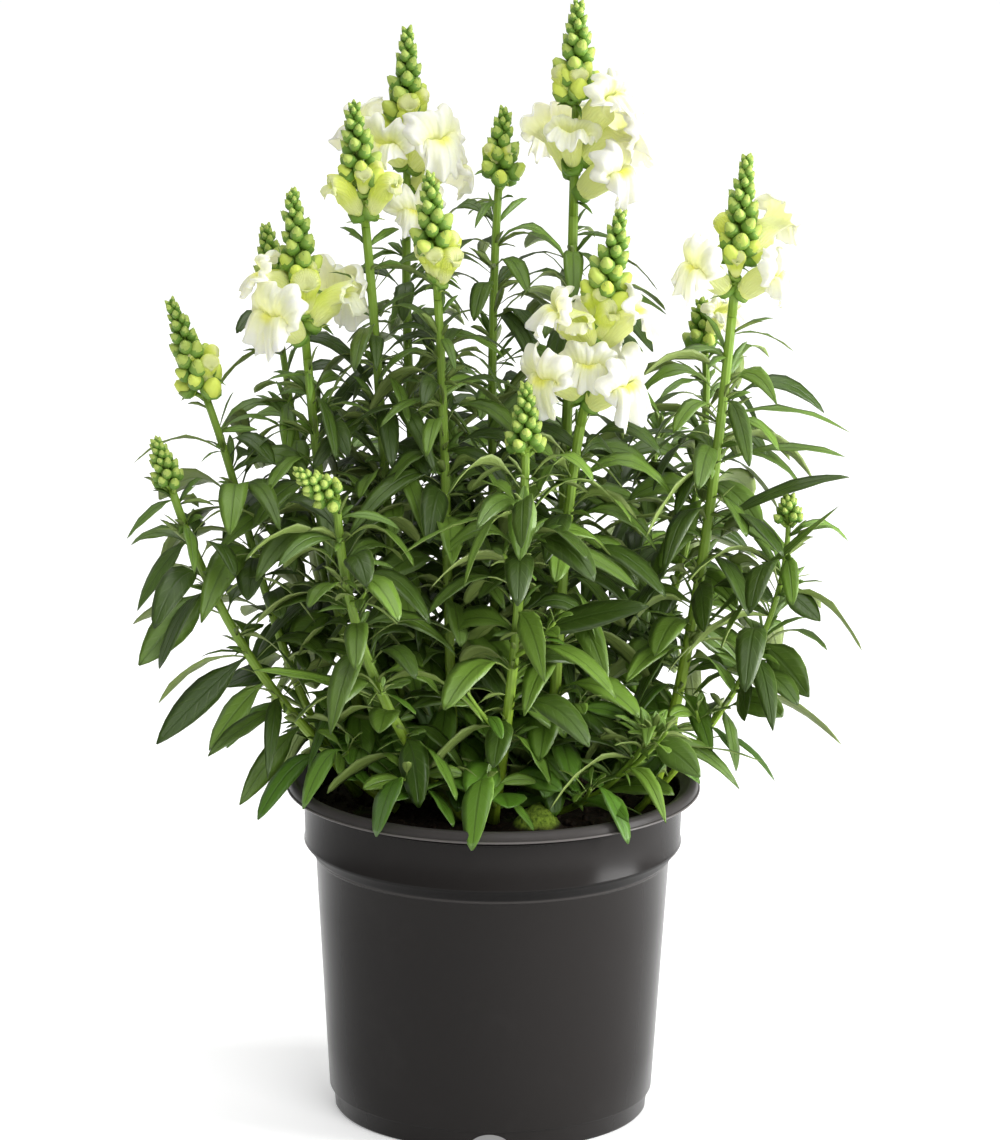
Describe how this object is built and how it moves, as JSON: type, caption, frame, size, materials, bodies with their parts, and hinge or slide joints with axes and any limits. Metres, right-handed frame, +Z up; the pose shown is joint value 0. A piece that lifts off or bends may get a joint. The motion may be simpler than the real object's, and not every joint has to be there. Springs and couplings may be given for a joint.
{
  "type": "potted snapdragon plant",
  "caption": "Bushy snapdragon with cream-white flowers and pointed bud spikes in a round dark plastic nursery pot.",
  "frame": {"origin": "centre of the pot's flat base, on the surface it stands on", "axes": "+Z up through the plant, -Y to the front of the plant, +X to its right seen from the front"},
  "size_m": [0.3339, 0.2262, 0.512],
  "materials": {
    "pot": "satin",
    "soil": "matte",
    "foliage": "satin",
    "spike": "satin",
    "petal": "matte"
  },
  "bodies": {
    "root": {"flower_01_1": "petal", "flower_01_2": "petal", "flower_01_3": "petal", "flower_01_4": "petal", "flower_01_5": "petal", "flower_05_1": "petal", "flower_05_2": "petal", "flower_05_3": "petal", "flower_05_4": "petal", "flower_05_5": "petal", "flower_06_1": "petal", "flower_06_2": "petal", "flower_06_3": "petal", "flower_06_4": "petal", "flower_06_5": "petal", "flower_06_6": "petal", "flower_07_1": "petal", "flower_07_2": "petal", "flower_07_3": "petal", "flower_08_1": "petal", "flower_08_2": "petal", "flower_08_3": "petal", "flower_16_1": "petal", "flower_spike_01": "spike", "flower_spike_02": "spike", "flower_spike_03": "spike", "flower_spike_04": "spike", "flower_spike_05": "spike", "flower_spike_06": "spike", "flower_spike_07": "spike", "flower_spike_08": "spike", "flower_spike_09": "spike", "flower_spike_10": "spike", "flower_spike_11": "spike", "flower_spike_12": "spike", "flower_spike_13": "spike", "flower_spike_14": "spike", "flower_spike_16": "spike", "pot": "pot", "shoot_01": "foliage", "shoot_02": "foliage", "shoot_03": "foliage", "shoot_04": "foliage", "shoot_05": "foliage", "shoot_06": "foliage", "shoot_07": "foliage", "shoot_08": "foliage", "shoot_09": "foliage", "shoot_10": "foliage", "shoot_11": "foliage", "shoot_12": "foliage", "shoot_13": "foliage", "shoot_14": "foliage", "shoot_15": "foliage", "shoot_16": "foliage", "shoot_17": "foliage", "shoot_18": "foliage", "shoot_19": "foliage", "soil": "soil"}
  },
  "joints": []
}
